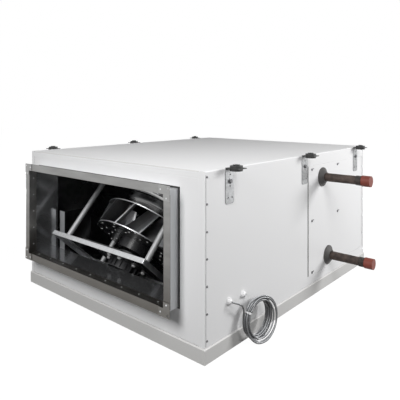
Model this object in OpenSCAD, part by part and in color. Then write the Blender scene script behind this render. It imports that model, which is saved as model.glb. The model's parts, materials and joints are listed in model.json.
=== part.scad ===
// Ceiling air handling unit: insulated casing, duct flanges, water heater pipes and an inclined plug fan.
// Frame: origin on the floor under the middle of the casing, +Z up, the outlet faces -Y, the pipes face +X.

/* [Casing] */
// Width of the casing across the airflow
casing_w = 1096; // [1080:2:1300]
// Depth of the casing along the airflow
casing_d = 1330; // [1310:2:1600]
// Height of the casing from the floor to its top
casing_h = 630; // [620:2:760]
// Thickness of the insulated panels
panel_t = 25; // [20:1:28]
// Height of the tray under the casing
tray_h = 53; // [46:1:58]
// How far the tray stands proud of the panels
tray_lip = 4; // [2:0.5:5]
// Height of the tray's sloping upper edge
tray_slope = 5; // [3:0.5:7]
// Radius of the folded panel edges
fold_r = 4; // [2:0.5:6]

/* [Duct connections] */
// Distance from the casing's left side to the clear duct opening
duct_left = 87; // [80:1:110]
// Distance from the casing's right side to the clear duct opening
duct_right = 129; // [100:1:150]
// Distance from the casing's top to the clear duct opening
duct_top = 80; // [70:1:100]
// Distance from the floor to the clear duct opening
duct_bottom = 170; // [150:1:190]
// Width of the flange face
flange_face = 30; // [25:1:34]
// Thickness of the flange face
flange_t = 3; // [2:0.5:4]
// Depth of the flange leg inside the collar
flange_leg = 35; // [25:1:45]
// Thickness of the hollow flange leg
flange_leg_t = 11; // [8:0.5:13]
// Sheet thickness of the duct collars
collar_t = 2; // [1:0.5:3]
// How far the flange face stands out from the casing
collar_out = 60; // [50:1:80]
// How far a collar reaches into the casing
collar_in = 95; // [60:1:100]
// Leg length of the flange corner plates
corner_leg = 52; // [40:1:70]
// Thickness of the flange corner plates
corner_t = 2.5; // [1.5:0.5:4]
// Bolt hole diameter in the flange corner plates
corner_hole_d = 8; // [6:0.5:10]
// Distance of the bolt holes from the corner plates' outer edges
corner_hole_inset = 8.5; // [7.5:0.25:9.5]
// Width of the black sealing strip around a collar
gasket_w = 5; // [3:0.5:7]
// How far the sealing strip stands out of its panel
gasket_proud = 2; // [1:0.5:4]

/* [Service cover] */
// Distance from the cover's front edge to the bulkhead's foot
cover_front = 28; // [20:1:40]
// Distance from the cover's rear edge to the casing's rear face
cover_rear = 25; // [20:1:35]
// Distance from the cover's upper edge to the casing's top
cover_drop = 52; // [45:1:60]
// Height of the cover's lower edge above the tray
cover_rise = 37; // [30:1:45]
// Thickness of the service cover
cover_t = 20; // [14:1:22]
// Gap in front of and behind the service cover
cover_gap = 4; // [2:0.5:6]
// Gap above and below the service cover
cover_slit = 0.5; // [0.25:0.25:2]
// Width of the ledge that the cover seats on
cover_ledge = 15; // [10:1:25]

/* [Fan] */
// Angle of the fan axis above the horizontal
fan_tilt = 48; // [44:0.5:52]
// Sideways place of the fan axis
fan_x = -40; // [-44:1:-20]
// Distance from the front face back to the axis at the motor frame
fan_setback = 159; // [150:1:170]
// Gap between the motor frame's lower corner and the tray
frame_gap = 6.2; // [4:0.2:12]
// Distance between the motor frame and the bulkhead
rod_len = 310; // [290:1:330]
// Diameter of the spacer rods
rod_d = 24; // [18:1:28]
// Distance of the left rods from the motor frame's left end
rod_left = 89; // [70:1:100]
// Distance of the right rods from the motor frame's right end
rod_right = 9; // [4:1:20]
// Distance of the rods from the motor frame's upper and lower edges
rod_inset = 23; // [16:1:26]
// Length of the motor frame across the fan
frame_w = 622; // [580:2:660]
// Shift of the motor frame across the fan
frame_x = -40; // [-45:1:-30]
// Distance from the fan axis up the slope to the motor frame's upper edge
frame_up = 177; // [160:1:190]
// Depth of the motor frame's folded edge
frame_edge = 20; // [14:1:22]
// Width of the motor frame's flange
frame_flange = 40; // [32:1:44]
// Sheet thickness of the motor frame
frame_t = 3; // [2:0.5:4]
// Sheet thickness of the bulkhead
bulkhead_t = 3; // [2:0.5:5]

/* [Impeller] */
// Diameter of the impeller's back plate
impeller_d = 400; // [370:2:414]
// Diameter of the shroud's rim
shroud_d = 414; // [400:2:440]
// Diameter of the shroud's eye
eye_d = 292; // [280:2:300]
// Height of the back plate above the motor frame
impeller_rise = 95; // [92:1:100]
// Thickness of the back plate
backplate_t = 4; // [2:0.5:5]
// Distance between the shroud's eye and the bulkhead
nozzle_room = 49; // [44:1:56]
// Height of the shroud from its rim to its eye
shroud_h = 60; // [52:1:62]
// Sheet thickness of the shroud
shroud_t = 4; // [2:0.5:5]
// Number of blades
blade_count = 11; // [9:1:13]
// Radius of the blades' leading edges
blade_inner_r = 122; // [115:1:130]
// Angle that a blade sweeps from its leading to its trailing edge
blade_sweep = 26; // [20:1:32]
// Angle that a blade leans across the fan's axis
blade_lean = 22; // [14:1:28]
// Radius of a blade's curve
blade_curve_r = 300; // [240:5:400]
// Thickness of a blade
blade_t = 4; // [2:0.5:6]
// Diameter of the rotor that carries the impeller
rotor_d = 150; // [130:2:170]
// Height of the rotor under the back plate
rotor_h = 42; // [36:1:44]
// Diameter of the fixed axle in the rotor
axle_d = 20; // [16:1:26]
// Clearance between the axle and the rotor's bore, on radius
axle_gap = 0.08; // [0.04:0.02:0.1]
// Gap between the nozzle and the shroud's eye, on radius
eye_gap = 7; // [5:0.5:10]
// Radius of the nozzle's bell
bell_r = 30; // [24:1:36]
// Depth that the nozzle reaches into the shroud's eye
nozzle_overlap = 7; // [4:1:10]
// Sheet thickness of the inlet nozzle
nozzle_t = 2; // [1:0.5:3]

/* [Motor] */
// Diameter of the stator housing under the motor frame
stator_d = 150; // [130:2:160]
// Gap between the stator housing and the outlet collar's inner edge
stator_clear = 6.5; // [5:0.5:12]
// Gap between the stator housing and the motor frame's lower flange
stator_gap = 3; // [2:0.5:6]
// Diameter of the stator's neck
neck_d = 110; // [90:2:124]
// Gap between the stator's neck and the rotor
neck_gap = 9; // [6:0.5:14]
// Thickness of the motor plate
motor_plate_t = 4; // [3:0.5:6]
// Width of the motor plate across the fan
motor_plate_w = 260; // [200:2:300]
// Number of cooling fins on the stator housing
stator_fins = 18; // [12:1:24]
// Depth of the cooling fins
fin_depth = 8; // [5:0.5:10]
// Thickness of the cooling fins
fin_t = 3; // [2:0.5:4]

/* [Heater] */
// Outer diameter of the heater pipes
pipe_d = 38; // [32:0.5:42]
// Wall thickness of the heater pipes
pipe_wall = 3.25; // [2:0.25:4]
// How far the upper pipe stands out of the casing
upper_pipe_out = 226; // [200:1:240]
// How far the lower pipe stands out of the casing
lower_pipe_out = 217; // [200:1:240]
// Distance of the upper pipe below the cover's upper edge
upper_pipe_drop = 60; // [54:1:80]
// Height of the lower pipe above the tray
lower_pipe_rise = 91; // [80:1:110]
// Distance from the cover's front edge to the upper pipe
upper_pipe_back = 138; // [120:1:150]
// Spacing of the pipes along the side
pipe_pitch = 56; // [52:1:70]
// Diameter of the rubber wall seals
seal_d = 87; // [80:1:96]
// Thickness of the rubber wall seals
seal_t = 18; // [12:1:24]
// Outer diameter of the pipe caps
cap_d = 48; // [44:1:52]
// Length of the pipe caps
cap_len = 38; // [30:1:50]
// Thickness of a cap's end
cap_end_t = 3; // [2:0.5:5]
// Distance from the heater's finned block to the side panels
heater_side = 73; // [60:1:90]
// Distance from the heater's finned block to the top panel
heater_top = 32; // [20:1:50]
// Depth of the heater's finned block along the airflow
heater_d = 110; // [104:1:124]
// Diameter of the heater's headers
header_d = 48; // [44:1:52]

/* [Filter] */
// Depth of the filter frame along the airflow
filter_d = 48; // [40:1:60]
// Width of the filter frame's rim
filter_rim = 24; // [18:1:30]
// Gap between the inlet collar and the filter
filter_gap = 18; // [12:1:26]
// Spacing of the filter pleats
pleat_pitch = 30; // [24:1:40]
// Thickness of the filter cloth, measured along the airflow
pleat_t = 6; // [4:0.5:8]

/* [Fan rails] */
// Height of the upright rails beside the fan
rail_h = 287; // [260:1:300]
// Length of the upright rails along the side
rail_len = 150; // [120:1:180]
// Width of the lip on a rail's front edge
rail_lip = 40; // [30:1:44]
// Sheet thickness of the rails
rail_t = 3; // [2:0.5:4]
// Distance of the left rail from the motor frame's left end
rail_gap = 23; // [20:1:40]

/* [Hangers] */
// Width of the hanging brackets
bracket_w = 48; // [40:1:56]
// Length of a bracket's upright leg
bracket_leg = 126; // [120:1:140]
// Length of a bracket's arm, outward from the casing
bracket_arm = 57; // [54:1:64]
// Sheet thickness of the brackets
bracket_t = 3; // [2:0.5:4]
// Height of the bracket's arm above the casing's top
bracket_rise = 2; // [0.5:0.5:6]
// Distance of the front brackets from the front face
bracket_front = 133; // [100:1:160]
// Distance of the rear brackets from the rear face
bracket_rear = 112; // [100:1:160]
// Distance of the middle brackets behind the casing's middle
bracket_mid = 6; // [0:1:20]
// Distance of the isolators from the casing's side
isolator_out = 30; // [28:1:32]
// Diameter of the rubber isolators
isolator_d = 45; // [38:1:50]
// Height of each half of a rubber isolator
isolator_h = 7.5; // [6:0.5:10]
// Diameter of the isolator's waist inside the bracket
isolator_waist = 24; // [20:1:28]
// Hole for the hanging rod
hanger_hole_d = 9; // [8:0.5:11]
// Diameter of the washers on the isolators
washer_d = 24; // [20:1:30]
// Thickness of the washers on the isolators
washer_t = 4; // [2:0.5:6]
// Radius of the lower corners of a bracket's upright leg
bracket_corner_r = 9; // [4:0.5:12]
// Diameter of the small holes in a bracket's upright leg
bracket_hole_d = 7; // [5:0.5:8]
// Sideways distance of the paired small holes from a bracket's middle
bracket_hole_side = 11; // [8:0.5:13]
// Pitch of the small holes down a bracket's upright leg
bracket_hole_pitch = 40; // [34:1:42]
// Distance of the highest small hole from the bracket's arm
bracket_hole_drop = 25; // [18:1:30]

/* [Cable] */
// Diameter of the control cable
cable_d = 6.3; // [5:0.1:8]
// Diameter of a cable gland's base
gland_d = 28; // [24:1:34]
// How far a cable gland stands out of the panel
gland_h = 14; // [12:1:18]
// Height of the cable glands above the tray
gland_rise = 114; // [106:1:122]
// Distance of the front cable gland from the front face
gland_front = 130; // [120:1:140]
// Spacing of the cable glands
gland_pitch = 83; // [76:1:90]
// Outer diameter of the cable coil
coil_d = 155; // [145:1:165]
// Width of the coil's bundle across the side face
coil_w = 40; // [34:1:46]
// Thickness of the coil's bundle
coil_t = 25; // [22:1:28]
// Distance of the coil's centre behind the front cable gland
coil_back = 127; // [122:1:132]
// Gap between the coil and the cable glands
coil_gap = 10; // [6:0.5:14]
// Gap between the coil and the floor
coil_lift = 0.5; // [0.2:0.1:2]
// Width of the cable tie
tie_w = 5; // [3:0.5:8]
// Thickness of the cable tie
tie_t = 1.2; // [0.8:0.1:2]
// Angle of the cable tie above the coil's front side
tie_angle = 29; // [20:1:34]
// Angle that the coil's rear side is turned away from the casing
coil_turn = 8; // [0:1:12]

/* [Hidden] */
$fn = 64;

// Small clearance where round or soft pieces seat
seat_gap = 0.2;
// Overlap used so that cuts pass fully through
cut = 1;
// Room between the end of the axle and the impeller's back plate
axle_end_gap = 2;
// Floor of the rotor's bore under the back plate
bore_floor = 1;
// Clearance between moving and fixed pieces
run_gap = 5;

// Casing limits
side_x = casing_w / 2;
face_y = casing_d / 2;
inner_x = side_x - panel_t;
ceiling_z = casing_h - panel_t;
floor_z = tray_h;

// Duct limits
duct_w = casing_w - duct_left - duct_right;
duct_h = casing_h - duct_top - duct_bottom;
duct_x = (duct_left - duct_right) / 2;
duct_z = duct_bottom + duct_h / 2;
collar_w = duct_w + 2 * (flange_leg_t + collar_t);
collar_h = duct_h + 2 * (flange_leg_t + collar_t);
flange_y = face_y + collar_out;
flange_w = duct_w + 2 * flange_face;
flange_h = duct_h + 2 * flange_face;
panel_cut_w = collar_w + 2 * gasket_w;
panel_cut_h = collar_h + 2 * gasket_w;
collar_end = collar_in - face_y;
collar_floor = duct_bottom - flange_leg_t;

// Fan frame: local X across, local Y down the slope, local Z along the axis towards the bulkhead
frame_low = stator_d / 2 + stator_gap + frame_flange;
frame_x0 = frame_x - frame_w / 2;
frame_x1 = frame_x + frame_w / 2;
fan_y = fan_setback - face_y;
fan_z = tray_h + frame_gap + frame_low * cos(fan_tilt) + frame_edge * sin(fan_tilt);
stator_h = (fan_y - collar_end - stator_clear) * cos(fan_tilt) - (collar_floor - fan_z) * sin(fan_tilt);
neck_h = impeller_rise - rotor_h - neck_gap;
rod_xs = [frame_x0 + rod_left, frame_x1 - rod_right];
rod_ys = [rod_inset - frame_up, frame_low - rod_inset];
rail_x = rail_gap - frame_x0;

// Impeller and nozzle
shroud_sweep = 70;
shroud_steps = 12;
eye_z = rod_len - nozzle_room;
lip_z = eye_z - nozzle_overlap;
throat_d = eye_d - 2 * (eye_gap + nozzle_t);
blade_start_angle = 30;
ellipse_r = (shroud_d - eye_d) / 2 / (1 - cos(shroud_sweep));
ellipse_z = shroud_h / sin(shroud_sweep);
backplate_top = impeller_rise + backplate_t;
bell_mouth_r = throat_d / 2 + bell_r;
nozzle_flange_r = bell_mouth_r + bell_r;

// Depth of a plane across the fan axis where it meets a height
function slope_y(along, z) = fan_y + (along - (z - fan_z) * sin(fan_tilt)) / cos(fan_tilt);

// Service cover limits
cover_y0 = slope_y(rod_len, floor_z) - cover_front;
cover_y1 = face_y - cover_rear;
cover_z0 = tray_h + cover_rise;
cover_z1 = casing_h - cover_drop;

// Heater and pipes
upper_pipe_y = cover_y0 + upper_pipe_back;
lower_pipe_y = upper_pipe_y + pipe_pitch;
upper_pipe_z = cover_z1 - upper_pipe_drop;
lower_pipe_z = tray_h + lower_pipe_rise;
pipe_places = [[upper_pipe_y, upper_pipe_z], [lower_pipe_y, lower_pipe_z]];
pipe_tips = [side_x + upper_pipe_out, side_x + lower_pipe_out];
heater_w = 2 * (inner_x - heater_side);
heater_h = ceiling_z - floor_z - heater_top;
heater_y = (upper_pipe_y + lower_pipe_y) / 2;
header_x = heater_w / 2 + header_d / 2 + seat_gap;
header_h = heater_h - header_d;
pipe_hole_gap = 4;
seal_lip = 5;
seal_nose = 6;

// Filter
filter_y1 = face_y - collar_in - filter_gap;
filter_y0 = filter_y1 - filter_d;
filter_h = ceiling_z - floor_z;
filter_w = 2 * inner_x;

// Hangers
bracket_ys = [bracket_front - face_y, bracket_mid, face_y - bracket_rear];
arm_top_z = casing_h + bracket_rise;
isolator_x = side_x + isolator_out;
bracket_holes = [
    [0, bracket_hole_drop], [0, bracket_hole_drop + bracket_hole_pitch],
    [-bracket_hole_side, bracket_hole_drop + 2 * bracket_hole_pitch],
    [bracket_hole_side, bracket_hole_drop + 2 * bracket_hole_pitch]
];

// Cable: route of the lead, out of the front gland and down into the left side of the coil
gland_z = tray_h + gland_rise;
gland_y = gland_front - face_y;
gland_step = 3;
gland_nose = 3;
gland_bore = 8;
dome_steps = 8;
coil_x = side_x + gland_h + coil_gap + coil_w / 2;
coil_y = gland_y + coil_back;
coil_z = coil_d / 2 + coil_lift;
lead_exit = [side_x + gland_h, gland_y, gland_z];
lead_steps = [
    [-6, 0, 0], [7, 0.5, 0], [16, 5, -1.5], [21, 13, -4.5], [23, 24, -9],
    [22.5, 36, -15.5], [21, 48, -24], [19, 58, -34], [17, 66, -45]
];
lead_route = [for (p = lead_steps) lead_exit + p];
lead_sides = 10;

// Box given by its low and high corners
module box(low, high) {
    translate(low) cube(high - low);
}

// Extrude a profile of Y and Z along X, centred on X = 0
module along_x(length) {
    rotate([90, 0, 90]) linear_extrude(length, center = true) children();
}

// Extrude a profile of X and Z along Y, centred on Y = 0
module along_y(length) {
    rotate([90, 0, 0]) linear_extrude(length, center = true) children();
}

// Square block with the duct's centre line, from one depth to another
module duct_block(w, h, y0, y1) {
    box([duct_x - w / 2, y0, duct_z - h / 2], [duct_x + w / 2, y1, duct_z + h / 2]);
}

// Place children in the fan's own frame
module in_fan_frame() {
    translate([fan_x, fan_y, fan_z]) rotate([fan_tilt - 90, 0, 0]) children();
}

// Side panel section with a folded upper edge, outer face on +X
module side_section() {
    difference() {
        translate([inner_x, floor_z]) square([panel_t, casing_h - floor_z]);
        translate([side_x - fold_r, casing_h - fold_r]) square(2 * fold_r);
    }
    translate([side_x - fold_r, casing_h - fold_r]) circle(fold_r);
}

// Side panel plan with folded front and rear edges, outer face on +X
module side_plan() {
    difference() {
        translate([inner_x, -face_y]) square([panel_t, casing_d]);
        for (end = [-1, 1])
            translate([side_x, end * face_y]) square(2 * fold_r, center = true);
    }
    for (end = [-1, 1])
        translate([side_x - fold_r, end * (face_y - fold_r)]) circle(fold_r);
}

module side_panel() {
    intersection() {
        along_y(casing_d) side_section();
        linear_extrude(casing_h) side_plan();
    }
}

// Section of the tray, its upper edges sloping in to the panels
module tray_section(half) {
    rim = half + tray_lip;
    shoulder = tray_h - tray_slope;
    polygon([[-rim, 0], [rim, 0], [rim, shoulder], [half, tray_h], [-half, tray_h], [-rim, shoulder]]);
}

module bottom_tray() {
    color("gainsboro") intersection() {
        along_x(2 * (side_x + tray_lip)) tray_section(face_y);
        along_y(2 * (face_y + tray_lip)) tray_section(side_x);
    }
}

module left_panel() {
    color("white") mirror([1, 0, 0]) side_panel();
}

module right_panel() {
    color("white") difference() {
        side_panel();
        box([side_x - cover_t, cover_y0 - cover_gap, cover_z0 - cover_slit],
            [side_x + cut, cover_y1 + cover_gap, cover_z1 + cover_slit]);
        box([inner_x - cut, cover_y0 + cover_ledge, cover_z0 + cover_ledge],
            [side_x, cover_y1 - cover_ledge, cover_z1 - cover_ledge]);
    }
}

module service_cover() {
    color("white") difference() {
        box([side_x - cover_t, cover_y0, cover_z0], [side_x, cover_y1, cover_z1]);
        for (p = pipe_places)
            translate([side_x - cover_t - cut, p[0], p[1]]) rotate([0, 90, 0])
                cylinder(r = pipe_d / 2 + pipe_hole_gap, h = cover_t + 2 * cut);
    }
}

// Top panel section with folded front and rear edges
module top_section() {
    difference() {
        translate([-face_y, ceiling_z]) square([casing_d, panel_t]);
        for (end = [-1, 1])
            translate([end * face_y, casing_h]) square(2 * fold_r, center = true);
    }
    for (end = [-1, 1])
        translate([end * (face_y - fold_r), casing_h - fold_r]) circle(fold_r);
}

module top_panel() {
    color("white") along_x(2 * inner_x) top_section();
}

// End panel with its duct cut-out, on the -Y side
module end_panel() {
    difference() {
        box([-inner_x, -face_y, floor_z], [inner_x, panel_t - face_y, ceiling_z]);
        duct_block(panel_cut_w, panel_cut_h, -face_y - cut, panel_t - face_y + cut);
    }
}

module front_panel() {
    color("white") end_panel();
}

module rear_panel() {
    color("white") mirror([0, 1, 0]) end_panel();
}

// Sealing strip between a collar and its panel, on the -Y side
module duct_gasket() {
    color("black") difference() {
        duct_block(panel_cut_w, panel_cut_h, -face_y - gasket_proud, panel_t - face_y);
        duct_block(collar_w, collar_h, -face_y - gasket_proud - cut, panel_t - face_y + cut);
    }
}

// Sheet collar from the back of the flange face into the casing, on the -Y side
module duct_collar() {
    inner_w = collar_w - 2 * collar_t;
    inner_h = collar_h - 2 * collar_t;
    color("silver") difference() {
        duct_block(collar_w, collar_h, flange_t - flange_y, collar_end);
        duct_block(inner_w, inner_h, -flange_y, collar_end + cut);
    }
}

// One flange rail along X: face, and leg inside the collar, its inner edge on Z = 0
module flange_rail(length) {
    box([-length / 2, 0, 0], [length / 2, flange_t, flange_face]);
    box([-length / 2, 0, 0], [length / 2, flange_leg, flange_leg_t]);
}

module duct_flange_rails() {
    color("darkgray") for (turn = [0, 90, 180, 270]) {
        lying = turn % 180 == 0;
        translate([duct_x, -flange_y, duct_z]) rotate([0, turn, 0])
            translate([0, 0, (lying ? duct_h : duct_w) / 2]) flange_rail(lying ? duct_w : duct_h);
    }
}

// One corner plate in front of the rails, its outer corner on the origin, legs along -X and -Z
module corner_plate() {
    difference() {
        box([-corner_leg, -corner_t, -corner_leg], [0, 0, 0]);
        box([-corner_leg - cut, -corner_t - cut, -corner_leg - cut], [-flange_face, cut, -flange_face]);
        translate([-corner_hole_inset, 0, -corner_hole_inset]) rotate([90, 0, 0])
            cylinder(d = corner_hole_d, h = 4 * corner_t, center = true);
    }
}

module duct_flange_corners() {
    color("gray") for (sx = [0, 1], sz = [0, 1])
        translate([duct_x, -flange_y, duct_z]) mirror([sx, 0, 0]) mirror([0, 0, sz])
            translate([flange_w / 2, 0, flange_h / 2]) corner_plate();
}

module outlet_gasket() { duct_gasket(); }
module outlet_collar() { duct_collar(); }
module outlet_flange_rails() { duct_flange_rails(); }
module outlet_flange_corners() { duct_flange_corners(); }
module inlet_gasket() { mirror([0, 1, 0]) duct_gasket(); }
module inlet_collar() { mirror([0, 1, 0]) duct_collar(); }
module inlet_flange_rails() { mirror([0, 1, 0]) duct_flange_rails(); }
module inlet_flange_corners() { mirror([0, 1, 0]) duct_flange_corners(); }

// Sloping wall between the heater and the fan, cut level at the ceiling and the tray
module fan_bulkhead() {
    far = rod_len + bulkhead_t;
    color("silver") difference() {
        along_x(2 * inner_x) polygon([
            [slope_y(rod_len, floor_z), floor_z], [slope_y(far, floor_z), floor_z],
            [slope_y(far, ceiling_z), ceiling_z], [slope_y(rod_len, ceiling_z), ceiling_z]
        ]);
        in_fan_frame() translate([0, 0, rod_len - cut])
            cylinder(r = bell_mouth_r, h = bulkhead_t + 2 * cut);
    }
}

// Bellmouth under the bulkhead that guides the air into the impeller's eye
module inlet_nozzle() {
    bell_z = rod_len - bell_r;
    color("silver") in_fan_frame() rotate_extrude() {
        translate([bell_mouth_r, rod_len - nozzle_t]) square([nozzle_flange_r - bell_mouth_r, nozzle_t]);
        translate([throat_d / 2, lip_z]) square([nozzle_t, bell_z - lip_z]);
        translate([bell_mouth_r, bell_z]) difference() {
            circle(bell_r);
            circle(bell_r - nozzle_t);
            translate([0, -2 * bell_r]) square(4 * bell_r);
            translate([-2 * bell_r, -2 * bell_r]) square([4 * bell_r, 2 * bell_r]);
        }
    }
}

module spacer_rods() {
    color("lightgray") in_fan_frame() for (x = rod_xs, y = rod_ys)
        translate([x, y, 0]) cylinder(d = rod_d, h = rod_len);
}

// Folded frame that hangs from the spacer rods
module motor_frame() {
    low = [frame_x0, -frame_up, -frame_edge];
    high = [frame_x1, frame_low, 0];
    wall = [frame_t, frame_t, 0];
    rim = [frame_flange, frame_flange, 0];
    color("gainsboro") in_fan_frame() difference() {
        box(low, high);
        box(low + wall - [0, 0, cut], high - wall - [0, 0, frame_t]);
        box(low + rim, high - rim + [0, 0, cut]);
    }
}

// Plate between the frame's upper and lower bars that carries the motor
module motor_plate() {
    color("dimgray") in_fan_frame() difference() {
        box([-motor_plate_w / 2, -frame_up, 0], [motor_plate_w / 2, frame_low, motor_plate_t]);
        translate([0, 0, -cut]) cylinder(r = neck_d / 2 + seat_gap, h = motor_plate_t + 2 * cut);
    }
}

// Fixed half of the motor: finned housing below the plate, neck and axle above it
module motor_stator() {
    core_r = stator_d / 2 - fin_depth;
    axle_top = impeller_rise - axle_end_gap;
    color("dimgray") in_fan_frame() {
        rotate_extrude() polygon([
            [0, -stator_h], [core_r, -stator_h], [core_r, 0], [neck_d / 2, 0], [neck_d / 2, neck_h],
            [axle_d / 2, neck_h], [axle_d / 2, axle_top], [0, axle_top]
        ]);
        for (i = [0 : stator_fins - 1]) rotate([0, 0, i * 360 / stator_fins])
            translate([core_r - fin_t, -fin_t / 2, fin_t - stator_h])
                cube([fin_depth + fin_t, fin_t, stator_h - 2 * fin_t]);
    }
}

module impeller_backplate() {
    color("black") in_fan_frame() translate([0, 0, impeller_rise]) cylinder(d = impeller_d, h = backplate_t);
}

// Point and outward normal of the shroud's inner line, from the eye to the rim
function shroud_point(a) = [eye_d / 2 + ellipse_r * (1 - cos(a)), eye_z - ellipse_z * sin(a)];
function shroud_normal(a) = let (v = [ellipse_z * cos(a), ellipse_r * sin(a)]) v / norm(v);
function shroud_line(offset) = [
    for (i = [0 : shroud_steps])
        let (a = i * shroud_sweep / shroud_steps) shroud_point(a) + offset * shroud_normal(a)
];
function reversed(list) = [for (i = [len(list) - 1 : -1 : 0]) list[i]];

// Room between the back plate and the shroud that the blades fill, clear of the nozzle's lip
module blade_room() {
    top = lip_z - run_gap;
    rotate_extrude() polygon(concat(
        [[shroud_d / 2, backplate_top], [blade_inner_r, backplate_top], [blade_inner_r, top]],
        [for (p = shroud_line(-seat_gap)) if (p[1] < top) p]
    ));
}

// One backward-curved blade, a slice of a leaning tube through its two edges
module blade() {
    lead = [blade_inner_r, 0, 0];
    tail = shroud_d / 2 * [cos(blade_sweep), sin(blade_sweep), 0];
    chord = tail - lead;
    middle = (lead + tail) / 2;
    normal = [-chord[1], chord[0], 0] / norm(chord);
    centre = normal * sqrt(pow(blade_curve_r, 2) - pow(norm(chord) / 2, 2));
    room = eye_z - backplate_top;
    intersection() {
        translate(middle + [0, 0, backplate_top + room / 2]) rotate(-blade_lean, middle) translate(centre)
            difference() {
                cylinder(r = blade_curve_r + blade_t / 2, h = 2 * room, center = true);
                cylinder(r = blade_curve_r - blade_t / 2, h = 2 * room + cut, center = true);
            }
        rotate([0, 0, -blade_start_angle]) translate([0, 0, backplate_top]) cube([shroud_d, shroud_d, room]);
    }
}

module impeller_blades() {
    color("lightgray") in_fan_frame() intersection() {
        blade_room();
        for (i = [0 : blade_count - 1]) rotate([0, 0, i * 360 / blade_count]) blade();
    }
}

module impeller_shroud() {
    color("silver") in_fan_frame() rotate_extrude()
        polygon(concat(shroud_line(0), reversed(shroud_line(shroud_t))));
}

// Outer rotor under the back plate, with the bore that runs on the axle
module rotor_hub() {
    color("dimgray") in_fan_frame() translate([0, 0, impeller_rise - rotor_h]) difference() {
        cylinder(d = rotor_d, h = rotor_h);
        translate([0, 0, -cut]) cylinder(r = axle_d / 2 + axle_gap, h = rotor_h - bore_floor + cut);
    }
}

// Upright sheet rail with a front lip, standing on the tray behind the outlet collar
module fan_rail() {
    top = floor_z + rail_h;
    box([rail_x, collar_end, floor_z], [rail_x + rail_t, collar_end + rail_len, top]);
    box([rail_x, collar_end, floor_z], [rail_x + rail_lip, collar_end + rail_t, top]);
}

module left_fan_rail() {
    color("silver") translate([fan_x, 0, 0]) mirror([1, 0, 0]) fan_rail();
}

module right_fan_rail() {
    color("silver") translate([fan_x, 0, 0]) fan_rail();
}

module heater_coil() {
    color("silver") box([-heater_w / 2, heater_y - heater_d / 2, floor_z],
        [heater_w / 2, heater_y + heater_d / 2, floor_z + heater_h]);
}

// Upright headers beside the finned block, each with a socket for its pipe
module heater_headers() {
    color("darkgoldenrod") for (p = pipe_places)
        difference() {
            translate([header_x, p[0], floor_z + header_d / 2]) cylinder(d = header_d, h = header_h);
            translate([header_x, p[0], p[1]]) rotate([0, 90, 0])
                cylinder(d = pipe_d + 2 * seat_gap, h = header_d);
        }
}

// Steel pipe from a header out through the cover
module heater_pipe(i) {
    length = pipe_tips[i] - cap_end_t - header_x;
    place = [header_x, pipe_places[i][0], pipe_places[i][1]];
    color("saddlebrown") translate(place) rotate([0, 90, 0]) difference() {
        cylinder(d = pipe_d, h = length);
        translate([0, 0, -cut]) cylinder(d = pipe_d - 2 * pipe_wall, h = length + 2 * cut);
    }
}

module supply_pipe() { heater_pipe(0); }
module return_pipe() { heater_pipe(1); }

// Rubber cone that closes the cover around a pipe
module pipe_seals() {
    lip_t = seal_t / 4;
    color("dimgray") for (p = pipe_places)
        translate([side_x, p[0], p[1]]) rotate([0, 90, 0]) difference() {
            union() {
                cylinder(d = seal_d, h = lip_t);
                translate([0, 0, lip_t])
                    cylinder(r1 = seal_d / 2 - seal_lip, r2 = pipe_d / 2 + seal_nose, h = seal_t - lip_t);
            }
            translate([0, 0, -cut]) cylinder(r = pipe_d / 2 + seat_gap, h = seal_t + 2 * cut);
        }
}

module pipe_caps() {
    color("firebrick") for (i = [0, 1])
        translate([pipe_tips[i], pipe_places[i][0], pipe_places[i][1]]) rotate([0, -90, 0]) difference() {
            cylinder(d = cap_d, h = cap_len);
            translate([0, 0, cap_end_t]) cylinder(r = pipe_d / 2 + seat_gap, h = cap_len);
        }
}

module filter_frame() {
    color("silver") difference() {
        box([-filter_w / 2, filter_y0, floor_z], [filter_w / 2, filter_y1, ceiling_z]);
        box([filter_rim - filter_w / 2, filter_y0 - cut, floor_z + filter_rim],
            [filter_w / 2 - filter_rim, filter_y1 + cut, ceiling_z - filter_rim]);
    }
}

// Pleated cloth inside the filter frame, a zigzag strip extruded upward
module filter_media() {
    span = filter_w - 2 * filter_rim;
    folds = 2 * round(span / pleat_pitch);
    front = [for (i = [0 : folds])
        [i * span / folds - span / 2, i % 2 == 0 ? filter_y0 : filter_y1 - pleat_t]];
    back = [for (p = reversed(front)) p + [0, pleat_t]];
    color("whitesmoke") translate([0, 0, floor_z + filter_rim])
        linear_extrude(filter_h - 2 * filter_rim) polygon(concat(front, back));
}

// Outline of a bracket's upright leg with round lower corners, its top on the origin
module bracket_face() {
    half = bracket_w / 2 - bracket_corner_r;
    straight = bracket_leg - bracket_corner_r;
    translate([-bracket_w / 2, -straight]) square([bracket_w, straight]);
    translate([-half, -bracket_leg]) square([2 * half, bracket_leg]);
    for (side = [-1, 1]) translate([side * half, -straight]) circle(bracket_corner_r);
}

// Hanging bracket on the +X side: upright leg on the panel and an arm for the isolator
module bracket() {
    difference() {
        union() {
            translate([0, 0, arm_top_z]) rotate([90, 0, 90]) linear_extrude(bracket_t) bracket_face();
            box([0, -bracket_w / 2, arm_top_z - bracket_t], [bracket_arm, bracket_w / 2, arm_top_z]);
        }
        translate([isolator_out, 0, arm_top_z - bracket_t - cut])
            cylinder(d = isolator_waist + 2 * seat_gap, h = bracket_t + 2 * cut);
        for (p = bracket_holes)
            translate([-cut, p[0], arm_top_z - p[1]]) rotate([0, 90, 0])
                cylinder(d = bracket_hole_d, h = bracket_t + 2 * cut);
    }
}

module bracket_row() {
    color("lightgray") for (y = bracket_ys) translate([side_x, y, 0]) bracket();
}

module left_brackets() { mirror([1, 0, 0]) bracket_row(); }
module right_brackets() { bracket_row(); }

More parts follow.
